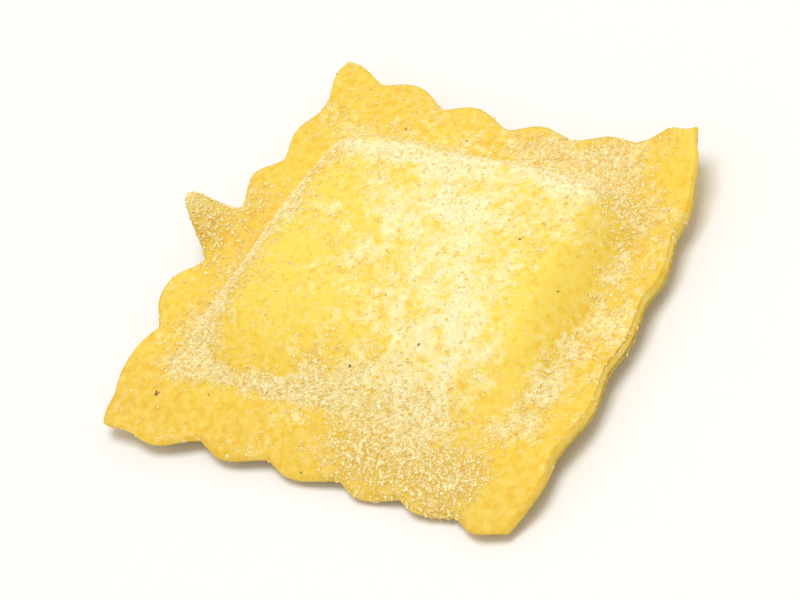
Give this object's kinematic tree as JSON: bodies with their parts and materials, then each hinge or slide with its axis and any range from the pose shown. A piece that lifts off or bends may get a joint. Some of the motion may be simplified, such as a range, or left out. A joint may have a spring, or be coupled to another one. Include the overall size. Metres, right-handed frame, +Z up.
{
  "type": "square fluted raviolo",
  "caption": "Square filled pasta piece of fresh egg dough with a fluted rim and a raised pillow, lying flat on its underside.",
  "frame": {"origin": "on the table under the middle of the box", "axes": "+X along the front side, +Y towards the back side, +Z up out of the pillow"},
  "size_m": [0.0606, 0.0556, 0.01],
  "materials": {
    "fresh_dough": null
  },
  "bodies": {
    "root": {"raviolo": "fresh_dough"}
  },
  "joints": []
}
